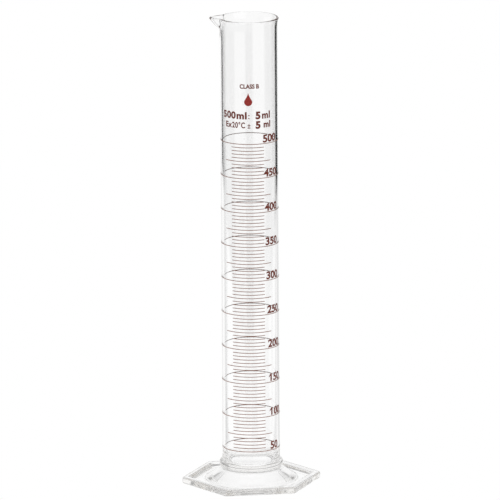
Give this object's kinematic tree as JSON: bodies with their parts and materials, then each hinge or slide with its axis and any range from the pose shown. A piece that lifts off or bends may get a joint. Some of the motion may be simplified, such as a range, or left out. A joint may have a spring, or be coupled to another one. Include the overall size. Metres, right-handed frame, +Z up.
{
  "type": "graduated cylinder",
  "caption": "Tall glass measuring cylinder with a pouring spout, a hexagonal glass foot and a fired enamel volume scale.",
  "frame": {"origin": "middle of the underside of the foot, on the axis of the tube", "axes": "+Z up along the tube's axis, the scale faces -Y and the spout points to -X"},
  "size_m": [0.1186, 0.1156, 0.412],
  "materials": {
    "clear_glass": "fire-polished clear glass",
    "brown_enamel": "fired satin enamel print"
  },
  "bodies": {
    "root": {"hexagonal_foot": "clear_glass", "measuring_tube": "clear_glass", "pouring_rim": "clear_glass", "ring_050ml": "brown_enamel", "ring_100ml": "brown_enamel", "ring_150ml": "brown_enamel", "ring_200ml": "brown_enamel", "ring_250ml": "brown_enamel", "ring_300ml": "brown_enamel", "ring_350ml": "brown_enamel", "ring_400ml": "brown_enamel", "ring_450ml": "brown_enamel", "ring_500ml": "brown_enamel", "half_mark_075ml": "brown_enamel", "half_mark_125ml": "brown_enamel", "half_mark_175ml": "brown_enamel", "half_mark_225ml": "brown_enamel", "half_mark_275ml": "brown_enamel", "half_mark_325ml": "brown_enamel", "half_mark_375ml": "brown_enamel", "half_mark_425ml": "brown_enamel", "half_mark_475ml": "brown_enamel"}
  },
  "joints": []
}
